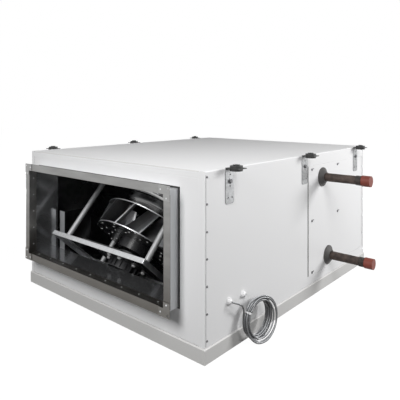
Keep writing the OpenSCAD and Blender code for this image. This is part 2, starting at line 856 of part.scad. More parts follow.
// Rubber grommets that grip the bracket arms
module isolators() {
    color("black") for (sx = [-1, 1], y = bracket_ys)
        translate([sx * isolator_x, y, arm_top_z - bracket_t]) difference() {
            union() {
                translate([0, 0, -isolator_h]) cylinder(d = isolator_d, h = isolator_h);
                cylinder(d = isolator_waist, h = bracket_t);
                translate([0, 0, bracket_t]) cylinder(d = isolator_d, h = isolator_h);
            }
            translate([0, 0, -isolator_h - cut])
                cylinder(d = hanger_hole_d, h = 2 * isolator_h + bracket_t + 2 * cut);
        }
}

module isolator_washers() {
    color("dimgray") for (sx = [-1, 1], y = bracket_ys)
        translate([sx * isolator_x, y, arm_top_z + isolator_h]) difference() {
            cylinder(d = washer_d, h = washer_t);
            translate([0, 0, -cut]) cylinder(d = hanger_hole_d, h = washer_t + 2 * cut);
        }
}

// Half section of a cable gland: flat base, dome and nose
module gland_section() {
    nose_r = cable_d / 2 + gland_nose;
    dome_r = gland_d / 2 - gland_step;
    dome_h = gland_h - 2 * gland_step;
    dome = [for (i = [0 : dome_steps]) let (a = 90 * i / dome_steps)
        [nose_r + (dome_r - nose_r) * cos(a), gland_step + dome_h * sin(a)]];
    polygon(concat(
        [[0, 0], [gland_d / 2, 0], [gland_d / 2, gland_step]], dome, [[nose_r, gland_h], [0, gland_h]]
    ));
}

module cable_glands() {
    color("white") for (i = [0, 1])
        translate([side_x, gland_y + i * gland_pitch, gland_z]) rotate([0, 90, 0]) difference() {
            rotate_extrude() gland_section();
            translate([0, 0, gland_h - gland_bore])
                cylinder(r = cable_d / 2 + seat_gap, h = gland_bore + cut);
        }
}

// Ring of points around one point of a route
function ring(route, i) = let (
    last = len(route) - 1,
    ahead = route[min(i + 1, last)] - route[max(i - 1, 0)],
    along = ahead / norm(ahead),
    side = cross(along, [0, 1, 0]) / norm(cross(along, [0, 1, 0])),
    up = cross(side, along)
) [for (k = [0 : lead_sides - 1])
    let (a = k * 360 / lead_sides) route[i] + cable_d / 2 * (cos(a) * side + sin(a) * up)];

module cable_lead() {
    rings = len(lead_route);
    n = lead_sides;
    points = [for (i = [0 : rings - 1]) each ring(lead_route, i)];
    walls = [for (i = [0 : rings - 2], k = [0 : n - 1])
        [i * n + k, (i + 1) * n + k, (i + 1) * n + (k + 1) % n, i * n + (k + 1) % n]];
    start = [for (k = [0 : n - 1]) k];
    end = [for (k = [n - 1 : -1 : 0]) (rings - 1) * n + k];
    color("slategray") polyhedron(points, concat([start], walls, [end]));
}

// Section of the coil's bundle, with round inner and outer sides
module bundle(grow) {
    r = coil_t / 2 + grow;
    half = (coil_w - coil_t) / 2;
    square([2 * r, 2 * half], center = true);
    for (side = [-1, 1]) translate([0, side * half]) circle(r);
}

// Place children at the coil's centre, turned with it
module in_coil_frame() {
    translate([coil_x, coil_y, coil_z]) rotate([0, 0, -coil_turn]) children();
}

module cable_coil() {
    color("slategray") in_coil_frame() rotate([0, 90, 0])
        rotate_extrude() translate([(coil_d - coil_t) / 2, 0]) bundle(0);
}

module coil_tie() {
    color("whitesmoke") in_coil_frame() rotate([-tie_angle, 0, 0])
        translate([0, -(coil_d - coil_t) / 2, 0]) rotate([0, 0, 90])
            linear_extrude(tie_w, center = true) difference() {
                bundle(tie_t + seat_gap);
                bundle(seat_gap);
            }
}

bottom_tray();
left_panel();
right_panel();
service_cover();
top_panel();
front_panel();
rear_panel();
outlet_gasket();
outlet_collar();
outlet_flange_rails();
outlet_flange_corners();
inlet_gasket();
inlet_collar();
inlet_flange_rails();
inlet_flange_corners();
fan_bulkhead();
inlet_nozzle();
spacer_rods();
motor_frame();
motor_plate();
motor_stator();
impeller_backplate();
impeller_blades();
impeller_shroud();
rotor_hub();
left_fan_rail();
right_fan_rail();
heater_coil();
heater_headers();
supply_pipe();
return_pipe();
pipe_seals();
pipe_caps();
filter_frame();
filter_media();
left_brackets();
right_brackets();
isolators();
isolator_washers();
cable_glands();
cable_lead();
cable_coil();
coil_tie();
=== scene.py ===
"""Looks of a ceiling air handling unit, built around its packed construction."""

import json
import math

import bmesh
import bpy
from mathutils import Matrix, Vector
from mathutils.kdtree import KDTree


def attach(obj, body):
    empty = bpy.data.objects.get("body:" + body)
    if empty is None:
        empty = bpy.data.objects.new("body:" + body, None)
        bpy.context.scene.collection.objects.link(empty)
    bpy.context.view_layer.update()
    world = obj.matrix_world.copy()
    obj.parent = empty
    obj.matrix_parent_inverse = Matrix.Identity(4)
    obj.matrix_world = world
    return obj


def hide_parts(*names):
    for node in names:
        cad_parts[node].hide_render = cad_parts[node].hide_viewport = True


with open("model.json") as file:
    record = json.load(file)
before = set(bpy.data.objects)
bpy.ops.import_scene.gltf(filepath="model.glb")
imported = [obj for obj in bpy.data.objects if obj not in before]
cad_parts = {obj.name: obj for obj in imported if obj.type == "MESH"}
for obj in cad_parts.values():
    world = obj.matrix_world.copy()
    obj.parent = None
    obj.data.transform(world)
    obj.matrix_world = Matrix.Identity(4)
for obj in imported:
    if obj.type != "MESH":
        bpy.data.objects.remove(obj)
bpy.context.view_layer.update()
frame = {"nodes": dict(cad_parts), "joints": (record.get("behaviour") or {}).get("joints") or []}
nodes = frame["nodes"]
scene = bpy.context.scene


# Low and high corner of the box around one node of the construction
def node_box(name):
    node = nodes[name]
    places = [node.matrix_world @ vertex.co for vertex in node.data.vertices]
    low = Vector([min(values) for values in zip(*places)])
    high = Vector([max(values) for values in zip(*places)])
    return low, high


# Places worked out from the construction, in metres
flange_low, flange_high = node_box("inlet_flange_rails")
cover_low, cover_high = node_box("service_cover")
fan_joint = frame["joints"][0]
SIDE_X = node_box("right_panel")[1].x
FACE_Y = node_box("rear_panel")[1].y
TOP_Z = node_box("top_panel")[1].z
RAIL_H = 0.030
DUCT_X = (flange_low.x + flange_high.x) / 2
DUCT_Z = (flange_low.z + flange_high.z) / 2
DUCT_W = flange_high.x - flange_low.x - 2 * RAIL_H
DUCT_H = flange_high.z - flange_low.z - 2 * RAIL_H
FLANGE_Y = flange_high.y
FAN_AXIS = Vector(fan_joint["axis"])
FAN_TILT = -math.atan2(FAN_AXIS.y, FAN_AXIS.z)
FAN = Matrix.Translation(fan_joint["pos_m"]) @ Matrix.Rotation(FAN_TILT, 4, "X")

# Camera at the photograph's place: level, with a vertical shift
CAMERA_PLACE = (1.5116, -1.7949, 0.8376)
CAMERA_YAW = math.radians(41.03)
CAMERA_LEVEL = math.radians(90)
CAMERA_SENSOR = 36.0
CAMERA_LENS = 41.11
CAMERA_SHIFT = -0.2304
CAMERA_REACH = 60.0


def make_camera():
    data = bpy.data.cameras.new("camera")
    data.sensor_width = CAMERA_SENSOR
    data.lens = CAMERA_LENS
    data.shift_y = CAMERA_SHIFT
    data.clip_end = CAMERA_REACH
    camera = bpy.data.objects.new("camera", data)
    camera.location = CAMERA_PLACE
    camera.rotation_euler = (CAMERA_LEVEL, 0.0, CAMERA_YAW)
    scene.collection.objects.link(camera)
    scene.camera = camera


make_camera()


# Material whose colour, roughness and bump come from procedural patterns
class Surface:
    def __init__(self, name):
        self.material = bpy.data.materials.new(name)
        self.material.use_nodes = True
        self.tree = self.material.node_tree
        self.shader = self.tree.nodes["Principled BSDF"]
        self.place = self.add("ShaderNodeTexCoord").outputs["Object"]

    def add(self, kind, **values):
        node = self.tree.nodes.new(kind)
        for key, value in values.items():
            setattr(node, key, value)
        return node

    def link(self, source, target):
        self.tree.links.new(source, target)

    def stretched(self, scale):
        node = self.add("ShaderNodeMapping")
        node.inputs["Scale"].default_value = scale
        self.link(self.place, node.inputs["Vector"])
        return node.outputs["Vector"]

    def noise(self, scale, detail, vector=None):
        node = self.add("ShaderNodeTexNoise")
        node.inputs["Scale"].default_value = scale
        node.inputs["Detail"].default_value = detail
        self.link(vector or self.place, node.inputs["Vector"])
        return node.outputs["Fac"]

    def cells(self, scale):
        node = self.add("ShaderNodeTexVoronoi")
        node.inputs["Scale"].default_value = scale
        self.link(self.place, node.inputs["Vector"])
        split = self.add("ShaderNodeSeparateColor")
        self.link(node.outputs["Color"], split.inputs["Color"])
        return split.outputs["Red"]

    # Share of the way between two heights, from 0 to 1
    def height(self, low, high):
        split = self.add("ShaderNodeSeparateXYZ")
        self.link(self.place, split.inputs["Vector"])
        node = self.add("ShaderNodeMapRange")
        node.inputs["From Min"].default_value = low
        node.inputs["From Max"].default_value = high
        self.link(split.outputs["Z"], node.inputs["Value"])
        return node.outputs["Result"]

    # How far a surface looks up: 0 down, 1 up
    def upward(self):
        split = self.add("ShaderNodeSeparateXYZ")
        self.link(self.add("ShaderNodeNewGeometry").outputs["Normal"], split.inputs["Vector"])
        node = self.add("ShaderNodeMapRange")
        node.inputs["From Min"].default_value = -1.0
        self.link(split.outputs["Z"], node.inputs["Value"])
        return node.outputs["Result"]

    def blend(self, source, low, high):
        node = self.add("ShaderNodeMix", data_type="RGBA")
        self.link(source, node.inputs["Factor"])
        self.link(low, node.inputs["A"])
        self.link(high, node.inputs["B"])
        return node.outputs["Result"]

    # Colours along a pattern, as pairs of a position and a colour
    def ramp(self, source, stops):
        node = self.add("ShaderNodeValToRGB")
        elements = node.color_ramp.elements
        for element, (position, colour) in zip(elements, (stops[0], stops[-1])):
            element.position = position
            element.color = (*colour, 1.0)
        for position, colour in stops[1:-1]:
            elements.new(position).color = (*colour, 1.0)
        self.link(source, node.inputs["Fac"])
        return node.outputs["Color"]

    def spread(self, source, low, high):
        node = self.add("ShaderNodeMapRange")
        node.inputs["To Min"].default_value = low
        node.inputs["To Max"].default_value = high
        self.link(source, node.inputs["Value"])
        return node.outputs["Result"]

    def colour(self, source):
        self.link(source, self.shader.inputs["Base Color"])

    def rough(self, source, low, high):
        self.link(self.spread(source, low, high), self.shader.inputs["Roughness"])

    def bump(self, source, strength, distance):
        node = self.add("ShaderNodeBump")
        node.inputs["Strength"].default_value = strength
        node.inputs["Distance"].default_value = distance
        self.link(source, node.inputs["Height"])
        self.link(node.outputs["Normal"], self.shader.inputs["Normal"])

    def set(self, **values):
        for key, value in values.items():
            self.shader.inputs[key.replace("_", " ")].default_value = value


# Depths of the bump patterns, and heights over which the zinc's painted shade towards the foot fades out, in
# metres
FINE_BUMP = 0.0006
COARSE_BUMP = 0.0008
ZINC_SHADE_SPAN = (0.13, 0.55)


def shade(colour, amount):
    return tuple(c * amount for c in colour)


# Powder coat: fine orange peel and a faint cloudiness
def powder_coat(name, colour, rough=(0.38, 0.5)):
    s = Surface(name)
    s.colour(s.ramp(s.noise(scale=2.2, detail=3.0), [(0.3, shade(colour, 0.985)), (0.7, colour)]))
    s.rough(s.noise(scale=9.0, detail=3.0), *rough)
    s.bump(s.noise(scale=620.0, detail=2.0), strength=0.05, distance=FINE_BUMP)
    s.set(Specular_IOR_Level=0.22)
    return s.material


# Zinc coated sheet: spangle cells and dull patches
def zinc_sheet(name, colour, rough, spangle, contrast=0.16, metal=1.0):
    s = Surface(name)
    dark, light = shade(colour, 1 - contrast), shade(colour, 1 + contrast / 2)
    s.colour(s.ramp(s.cells(spangle), [(0.0, dark), (0.6, colour), (1.0, light)]))
    s.rough(s.noise(scale=14.0, detail=6.0), *rough)
    s.bump(s.noise(scale=160.0, detail=3.0), strength=0.04, distance=COARSE_BUMP)
    s.set(Metallic=metal)
    return s.material


# Zinc coated sheet, darker and browner towards the foot: painted shade, standing in for the dim floor that
# its lower faces reflect
def zinc_shaded_to_foot(name, foot, head, rough):
    s = Surface(name)
    streaks = s.noise(scale=26.0, detail=6.0, vector=s.stretched((0.25, 1.0, 1.0)))
    lower = s.ramp(streaks, [(0.3, shade(foot, 0.86)), (0.7, shade(foot, 1.12))])
    upper = s.ramp(streaks, [(0.3, shade(head, 0.86)), (0.7, shade(head, 1.12))])
    s.colour(s.blend(s.height(*ZINC_SHADE_SPAN), lower, upper))
    s.rough(s.noise(scale=14.0, detail=6.0), *rough)
    s.bump(s.noise(scale=160.0, detail=3.0), strength=0.04, distance=COARSE_BUMP)
    s.set(Metallic=1.0)
    return s.material


# Drawn or rolled metal: fine streaks along one way
def rolled_metal(name, colour, rough, streak, metal=1.0):
    s = Surface(name)
    streaks = s.noise(scale=90.0, detail=5.0, vector=s.stretched(streak))
    s.colour(s.ramp(streaks, [(0.25, shade(colour, 0.86)), (0.75, shade(colour, 1.08))]))
    s.rough(streaks, *rough)
    s.bump(streaks, strength=0.05, distance=FINE_BUMP)
    s.set(Metallic=metal)
    return s.material


# Gloss paint with light dust
def gloss_paint(name, colour, rough):
    s = Surface(name)
    s.colour(s.ramp(s.noise(scale=30.0, detail=6.0), [(0.35, colour), (0.8, shade(colour, 1.7))]))
    s.rough(s.noise(scale=18.0, detail=5.0), *rough)
    s.bump(s.noise(scale=300.0, detail=2.0), strength=0.04, distance=FINE_BUMP)
    return s.material


# Cast or oxidised metal: mottled scale
def oxide(name, dark, light, rough, grain):
    s = Surface(name)
    middle = tuple((a + b) / 2 for a, b in zip(dark, light))
    s.colour(s.ramp(s.noise(scale=grain, detail=8.0), [(0.32, dark), (0.52, middle), (0.72, light)]))
    s.rough(s.noise(scale=grain * 1.7, detail=5.0), *rough)
    s.bump(s.noise(scale=grain * 6, detail=5.0), strength=0.25, distance=COARSE_BUMP)
    s.set(Specular_IOR_Level=0.3)
    return s.material


# Moulded plastic or rubber: slight colour cloud and moulded texture
def moulded(name, colour, rough, shine=0.5):
    s = Surface(name)
    dark, light = shade(colour, 0.88), shade(colour, 1.1)
    s.colour(s.ramp(s.noise(scale=22.0, detail=4.0), [(0.3, dark), (0.75, light)]))
    s.rough(s.noise(scale=40.0, detail=4.0), *rough)
    s.bump(s.noise(scale=260.0, detail=3.0), strength=0.08, distance=FINE_BUMP)
    s.set(Specular_IOR_Level=shine)
    return s.material


# Glossy cable sheath, darker on its under side as painted shade, and pale on its upper side with dust and a
# painted sheen
def shaded_dusty_sheath(name, colour, dust_and_sheen, rough):
    s = Surface(name)
    s.colour(s.ramp(s.upward(), [(0.30, shade(colour, 0.35)), (0.64, colour), (0.94, dust_and_sheen)]))
    s.rough(s.noise(scale=40.0, detail=4.0), *rough)
    s.bump(s.noise(scale=500.0, detail=3.0), strength=0.06, distance=FINE_BUMP)
    s.set(Specular_IOR_Level=0.7)
    return s.material


# Pleated fleece: fibres and dust
def fleece(name, colour, rough):
    s = Surface(name)
    fibres = s.noise(scale=420.0, detail=6.0)
    s.colour(s.ramp(fibres, [(0.3, shade(colour, 0.8)), (0.7, colour)]))
    s.rough(fibres, *rough)
    s.bump(fibres, strength=0.4, distance=COARSE_BUMP)
    return s.material


# Ways and lengths of the streaks in rolled metal
STREAK_X = (0.15, 1.0, 1.0)
STREAK_Z = (1.0, 1.0, 0.08)
STREAK_Z_SOFT = (1.0, 1.0, 0.2)
STREAK_Z_LONG = (0.3, 0.3, 0.02)
STREAK_NONE = (1.0, 1.0, 1.0)

white_paint = powder_coat("white_paint", (0.80, 0.80, 0.805))
# Top panel's own copy of the white paint: rougher with dust, and lighter as painted light
top_paint_lit = powder_coat("top_paint_lit", (0.82, 0.82, 0.825), rough=(0.58, 0.70))
tray_paint = powder_coat("tray_paint", (0.60, 0.595, 0.585))
# Flange rails and corner plates: zinc with painted shade towards the foot
galvanised = zinc_shaded_to_foot(
    "galvanised", foot=(0.112, 0.105, 0.095), head=(0.30, 0.299, 0.294), rough=(0.30, 0.46))
corner_zinc = zinc_shaded_to_foot(
    "corner_zinc", foot=(0.15, 0.143, 0.132), head=(0.34, 0.34, 0.335), rough=(0.26, 0.40))
# Inside of the duct collars: a darker copy of the collar's zinc, as painted shade
shaded_collar_zinc = zinc_sheet(
    "shaded_collar_zinc", (0.36, 0.364, 0.372), rough=(0.12, 0.22), spangle=40.0, contrast=0.08, metal=0.88)
# Fan rails: zinc painted near black, as painted shade
shaded_rail_zinc = zinc_sheet("shaded_rail_zinc", (0.10, 0.101, 0.103), rough=(0.20, 0.32), spangle=40.0, contrast=0.08)
rivet_zinc = zinc_sheet(
    "rivet_zinc", (0.72, 0.72, 0.72), rough=(0.45, 0.60), spangle=300.0, contrast=0.10, metal=0.3)
bracket_zinc = zinc_sheet(
    "bracket_zinc", (0.34, 0.345, 0.35), rough=(0.30, 0.45), spangle=160.0, contrast=0.20)
inner_zinc = zinc_sheet("inner_zinc", (0.24, 0.245, 0.25), rough=(0.22, 0.36), spangle=40.0)
side_zinc = rolled_metal("side_zinc", (0.50, 0.51, 0.52), rough=(0.32, 0.46), streak=STREAK_Z_LONG)
bright_zinc = rolled_metal("bright_zinc", (0.62, 0.63, 0.64), rough=(0.28, 0.45), streak=STREAK_Z)
rod_zinc = rolled_metal("rod_zinc", (0.42, 0.425, 0.43), rough=(0.50, 0.65), streak=STREAK_Z, metal=0.5)
blade_metal = rolled_metal("blade_metal", (0.50, 0.50, 0.51), rough=(0.30, 0.42), streak=STREAK_X)
aluminium = rolled_metal("aluminium", (0.66, 0.66, 0.67), rough=(0.22, 0.38), streak=STREAK_X)
spun_steel = rolled_metal("spun_steel", (0.42, 0.42, 0.42), rough=(0.08, 0.18), streak=STREAK_Z_SOFT)
dark_screw = rolled_metal("dark_screw", (0.14, 0.14, 0.145), rough=(0.35, 0.5), streak=STREAK_NONE)
black_paint = gloss_paint("black_paint", (0.010, 0.010, 0.011), rough=(0.20, 0.36))
motor_casting = oxide(
    "motor_casting", dark=(0.020, 0.020, 0.022), light=(0.050, 0.050, 0.052), rough=(0.35, 0.6), grain=40.0)
rusty_steel = oxide(
    "rusty_steel", dark=(0.024, 0.018, 0.016), light=(0.086, 0.062, 0.052), rough=(0.5, 0.75), grain=46.0)
thread_steel = oxide(
    "thread_steel", dark=(0.016, 0.014, 0.013), light=(0.075, 0.062, 0.055), rough=(0.4, 0.65), grain=60.0)
red_plastic = moulded("red_plastic", (0.185, 0.044, 0.030), rough=(0.40, 0.60), shine=0.3)
black_rubber = moulded("black_rubber", (0.018, 0.018, 0.018), rough=(0.45, 0.65))
seal_rubber = moulded("seal_rubber", (0.085, 0.082, 0.080), rough=(0.40, 0.55), shine=0.2)
white_plastic = moulded("white_plastic", (0.80, 0.80, 0.805), rough=(0.25, 0.4))
# Cable sheath: painted shade underneath, dust and painted sheen on top
cable_sheath = shaded_dusty_sheath(
    "cable_sheath", (0.095, 0.097, 0.102), dust_and_sheen=(0.40, 0.41, 0.425), rough=(0.16, 0.26))
filter_cloth = fleece("filter_cloth", (0.62, 0.62, 0.60), rough=(0.85, 1.0))

PAINTS = {
    white_paint: ("left_panel", "right_panel", "service_cover", "top_panel", "front_panel", "rear_panel"),
    tray_paint: ("bottom_tray",),
    galvanised: ("outlet_flange_rails", "inlet_flange_rails", "filter_frame"),
    corner_zinc: ("outlet_flange_corners", "inlet_flange_corners"),
    side_zinc: ("outlet_collar", "inlet_collar"),
    shaded_rail_zinc: ("left_fan_rail", "right_fan_rail"),
    inner_zinc: ("fan_bulkhead",),
    spun_steel: ("inlet_nozzle", "impeller_shroud"),
    rod_zinc: ("spacer_rods",),
    bright_zinc: ("motor_frame",),
    bracket_zinc: ("left_brackets", "right_brackets"),
    blade_metal: ("impeller_blades",),
    aluminium: ("heater_coil",),
    black_paint: ("motor_plate", "impeller_backplate", "rotor_hub", "isolator_washers"),
    motor_casting: ("motor_stator",),
    rusty_steel: ("heater_headers", "supply_pipe", "return_pipe"),
    red_plastic: ("pipe_caps",),
    seal_rubber: ("pipe_seals",),
    black_rubber: ("outlet_gasket", "inlet_gasket", "isolators"),
    white_plastic: ("cable_glands",),
    filter_cloth: ("filter_media",),
}

# Inner faces of the casing, as the way that they look
INNER_FACES = {
    "left_panel": (1, 0, 0), "right_panel": (-1, 0, 0), "service_cover": (-1, 0, 0), "top_panel": (0, 0, -1),
    "front_panel": (0, 1, 0), "rear_panel": (0, -1, 0), "bottom_tray": (0, 0, 1),
}

# Radius from the fan's axis beyond which a node's cut edge is painted bright, in metres
BRIGHT_RIMS = {"impeller_backplate": 0.19, "impeller_shroud": 0.20, "impeller_blades": 0.19}

# Bevel widths of the sharp sheet edges, in metres
EDGES = {
    "bottom_tray": 0.0015, "front_panel": 0.001, "rear_panel": 0.001, "service_cover": 0.001,
    "outlet_flange_rails": 0.0008, "inlet_flange_rails": 0.0008, "outlet_flange_corners": 0.0006,
    "inlet_flange_corners": 0.0006, "motor_frame": 0.001, "left_brackets": 0.0007, "right_brackets": 0.0007,
    "left_fan_rail": 0.0008, "right_fan_rail": 0.0008, "heater_coil": 0.001,
}
EDGE_WELD = 1e-5
EDGE_ANGLE = math.radians(40)
BEVEL_STEPS = 2

# Cosines that tell how squarely a face looks one way
SQUARE = 0.95
NEARLY_SQUARE = 0.9
SIDEWAYS = 0.3
SLOPING = 0.2

# Zones of the painted faces, in metres
INNER_REACH = 0.03
TOP_EDGE = 0.006
SEAM_Y = 0.0383
SEAM_REACH = 0.010
ARM_START = 0.006
ARM_Z = 0.624


def paint_node(node, material):
    mesh = node.data
    mesh.materials.clear()
    mesh.materials.append(material)
    for polygon in mesh.polygons:
        polygon.material_index = 0


# One more material, on the faces that a test picks
def paint_faces(node, material, picks):
    mesh = node.data
    mesh.materials.append(material)
    for polygon in mesh.polygons:
        if picks(polygon):
            polygon.material_index = len(mesh.materials) - 1


def paint_inner_face(node, way):
    way = Vector(way)
    reach = max(v.co.dot(way) for v in node.data.vertices)

    def inside(polygon):
        return polygon.normal.dot(way) > SQUARE and polygon.center.dot(way) > reach - INNER_REACH

    paint_faces(node, inner_zinc, inside)


# Inside of a duct collar: the faces that look towards the duct's middle, glossier than the outside and
# painted darker as painted shade
def paint_collar_inside(node):
    middle = Vector((DUCT_X, 0, DUCT_Z))

    def inward(polygon):
        way = middle - polygon.center
        way.y = 0
        return polygon.normal.dot(way) > 0

    paint_faces(node, shaded_collar_zinc, inward)


# Lips of the fan rails, which look towards the outlet, painted bright zinc as a painted highlight against
# the rails' painted shade
def paint_lit_lip(node):
    paint_faces(node, bright_zinc, lambda polygon: polygon.normal.y < -NEARLY_SQUARE)


# Cut edge of a round piece on the fan's axis, painted bright zinc: partly the bare metal of a cut edge,
# partly a painted highlight along the rim
def paint_bright_rim(node, reach):
    def at_rim(polygon):
        out = (FAN.inverted() @ polygon.center).to_2d().length
        return abs(polygon.normal.dot(FAN_AXIS)) < SIDEWAYS and out > reach

    paint_faces(node, bright_zinc, at_rim)


# Upper face of the top panel, dulled by dust and painted a little lighter than the side panels as painted
# light, and its edge, painted darker grey as painted shade
def paint_top(node):
    def upper(polygon):
        return polygon.normal.z > SLOPING and polygon.center.z > TOP_Z - TOP_EDGE

    paint_faces(node, top_paint_lit, lambda polygon: upper(polygon) and polygon.normal.z > SQUARE)
    paint_faces(node, tray_paint, lambda polygon: upper(polygon) and polygon.normal.z <= SQUARE)


# Upright seam between the service cover and the side panel, its faces painted black as painted shade
def paint_seam_shade(node, way):
    def at_seam(polygon):
        return abs(polygon.center.y - SEAM_Y) < SEAM_REACH and polygon.normal.y * way > NEARLY_SQUARE

    paint_faces(node, black_rubber, at_seam)


# Arms of the hanging brackets, under their dark isolators, and the bend above them, painted black as painted
# shade
def paint_shaded_arms(node):
    def on_arm(polygon):
        return abs(polygon.center.x) > SIDE_X + ARM_START or polygon.center.z > ARM_Z

    paint_faces(node, black_rubber, on_arm)


def round_edges(node, width):
    weld = node.modifiers.new("weld", "WELD")
    weld.merge_threshold = EDGE_WELD
    bevel = node.modifiers.new("bevel", "BEVEL")
    bevel.width = width
    bevel.segments = BEVEL_STEPS
    bevel.limit_method = "ANGLE"
    bevel.angle_limit = EDGE_ANGLE


for material, names in PAINTS.items():
    for name in names:
        paint_node(nodes[name], material)
for name, way in INNER_FACES.items():
    paint_inner_face(nodes[name], way)
for name in ("left_brackets", "right_brackets"):
    paint_shaded_arms(nodes[name])
for name in ("outlet_collar", "inlet_collar"):
    paint_collar_inside(nodes[name])
for name in ("left_fan_rail", "right_fan_rail"):
    paint_lit_lip(nodes[name])
for name, reach in BRIGHT_RIMS.items():
    paint_bright_rim(nodes[name], reach)
for name, width in EDGES.items():
    round_edges(nodes[name], width)
paint_top(nodes["top_panel"])
paint_seam_shade(nodes["service_cover"], -1)
paint_seam_shade(nodes["right_panel"], 1)

# Mesh tools: each adds closed geometry to one mesh, which then becomes a piece on a body
POINT_WELD = 1e-7
SMOOTH_ANGLE = 35
ROUND_SIDES = 20


def new_piece(name, bm, body, material, smooth_angle=SMOOTH_ANGLE):
    bmesh.ops.remove_doubles(bm, verts=bm.verts, dist=POINT_WELD)
    bmesh.ops.recalc_face_normals(bm, faces=bm.faces)
    limit = math.radians(smooth_angle)
    for face in bm.faces:
        face.smooth = True
    for edge in bm.edges:
        edge.smooth = edge.is_manifold and edge.calc_face_angle(math.pi) < limit
    mesh = bpy.data.meshes.new(name)
    bm.to_mesh(mesh)
    bm.free()
    piece = bpy.data.objects.new(name, mesh)
    scene.collection.objects.link(piece)
    mesh.materials.append(material)
    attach(piece, body)
    return piece


# Cosine and sine of evenly spaced angles around a circle
def circle(sides):
    angles = [2 * math.pi * k / sides for k in range(sides)]
    return [(math.cos(a), math.sin(a)) for a in angles]


# Faces between two rings of points
def bridge(bm, low, high):
    count = len(low)
    for k in range(count):
        after = (k + 1) % count
        bm.faces.new((low[k], low[after], high[after], high[k]))


# Closed skin over a row of rings
def skin(bm, rings):
    for low, high in zip(rings, rings[1:]):
        bridge(bm, low, high)
    bm.faces.new(reversed(rings[0]))
    bm.faces.new(rings[-1])


# Turn a profile of radius and height pairs about an axis
def lathe(bm, profile, place, axis, sides=ROUND_SIDES):
    spin = Vector(axis).to_track_quat("Z", "Y").to_matrix().to_4x4()
    matrix = Matrix.Translation(place) @ spin
    rings = []
    for radius, height in profile:
        ring = [matrix @ Vector((radius * c, radius * s, height)) for c, s in circle(sides)]
        rings.append([bm.verts.new(point) for point in ring])
    skin(bm, rings)


# Box with bevelled edges, in a frame of its own
def slab(bm, low, high, bevel, matrix=None):
    verts = bmesh.ops.create_cube(bm, size=1.0)["verts"]
    for v in verts:
        v.co = [start + (c + 0.5) * (end - start) for start, end, c in zip(low, high, v.co)]
    edges = list({e for v in verts for e in v.link_edges})
    made = bmesh.ops.bevel(bm, geom=edges, offset=bevel, segments=BEVEL_STEPS, affect="EDGES", profile=0.5)
    if matrix is not None:
        verts = list({v for f in made["faces"] for v in f.verts})
        bmesh.ops.transform(bm, matrix=matrix, verts=verts)


# Round bar along a list of points, with a section that doesn't twist
def tube(bm, points, radius, sides):
    side = (points[1] - points[0]).orthogonal().normalized()
    rings = []
    for i, point in enumerate(points):
        along = (points[min(i + 1, len(points) - 1)] - points[max(i - 1, 0)]).normalized()
        side = (side - along * side.dot(along)).normalized()
        up = along.cross(side)
        ring = [point + radius * (c * side + s * up) for c, s in circle(sides)]
        rings.append([bm.verts.new(place) for place in ring])
    skin(bm, rings)


# Cable: from the front gland into a coil of nine loose turns that a tie holds
CABLE_D = 0.0063
CABLE_SIDES = 12
CABLE_SMOOTH = 60
LEAD_EXIT = Vector((0.562, -0.535, 0.167))
LEAD_STEPS = (
    (-0.006, 0.0, 0.0), (0.007, 0.0005, 0.0), (0.016, 0.005, -0.0015), (0.021, 0.013, -0.0045),
    (0.023, 0.024, -0.009), (0.0225, 0.036, -0.0155), (0.021, 0.048, -0.024), (0.019, 0.058, -0.034),
    (0.017, 0.066, -0.045),
)
COIL_YAW = Matrix.Rotation(math.radians(-8), 4, "Z")
COIL = Matrix.Translation((0.592, -0.408, 0.078)) @ COIL_YAW
COIL_R = 0.067
COIL_TURNS = 9
COIL_LEAN = 0.008
COIL_SAG = 0.009
TURN_POINTS = 72
TIE_ANGLE = math.radians(29)
TIE_SHIFT = -0.007

# Slots of the turns at the tie, as steps sideways and outward
SLOT = 0.0066
SLOT_ORDER = ((-1, 1), (-1, 0), (-1, -1), (0, -1), (0, 0), (0, 1), (1, 1), (1, 0), (1, -1))

# How far the turns spread away from the tie
LOOP_TILT = 0.021
LOOP_SHIFT = -0.003
LOOP_GROWTH = 0.011
LOOP_OPENING = 1.05
SHUFFLE_STEP = 0.444
TILT_START = 0.15
GROWTH_START = 0.05

# Smoothing and settling of the route: points that it moves, number of passes and distances
LEAD_FREE = 6
ENTRY_POINTS = 8
ENTRY_PASSES = 14
LEAD_PASSES = 5
COIL_PASSES = 4
SETTLE_PASSES = 80
LAST_PASSES = 12
OWN_SHARE = 0.5
PUSH_REACH = 2
PUSH_SHARE = 6
STRAND_GAP = 0.0065
FLOOR_GAP = 0.0004
NEAR_POINTS = 6


# Even shuffle of the turns between -1 and 1
def shuffled(turn, start):
    return 2 * math.fmod(start + SHUFFLE_STEP * turn, 1.0) - 1


# Place in the coil, sideways and outward of its ring, at an angle below its front side
def coil_place(axial, radial, angle):
    reach = COIL_R + radial
    low = math.sin(angle)
    return COIL @ Vector((axial + COIL_LEAN * low, -reach * math.cos(angle) - COIL_SAG * low, -reach * low))


# A point on one turn: in its slot at the tie, and loose away from it
def coil_point(turn, past_tie):
    share = past_tie / (2 * math.pi)
    here = SLOT_ORDER[turn]
    after = SLOT_ORDER[min(turn + 1, COIL_TURNS - 1)]
    loose = math.sin(past_tie / 2) ** LOOP_OPENING
    axial = SLOT * (here[0] + share * (after[0] - here[0]))
    radial = SLOT * (here[1] + share * (after[1] - here[1]))
    axial += (LOOP_TILT * shuffled(turn, TILT_START) + LOOP_SHIFT) * loose + TIE_SHIFT * (1 - loose)
    radial += LOOP_GROWTH * shuffled(turn, GROWTH_START) * loose
    return coil_place(axial, radial, past_tie - TIE_ANGLE)


# The lead's chosen points, and then the coil turn by turn
def cable_points():
    points = [LEAD_EXIT + Vector(step) for step in LEAD_STEPS]
    for turn in range(COIL_TURNS):
        for i in range(TURN_POINTS):
            points.append(coil_point(turn, 2 * math.pi * i / TURN_POINTS))
    return points


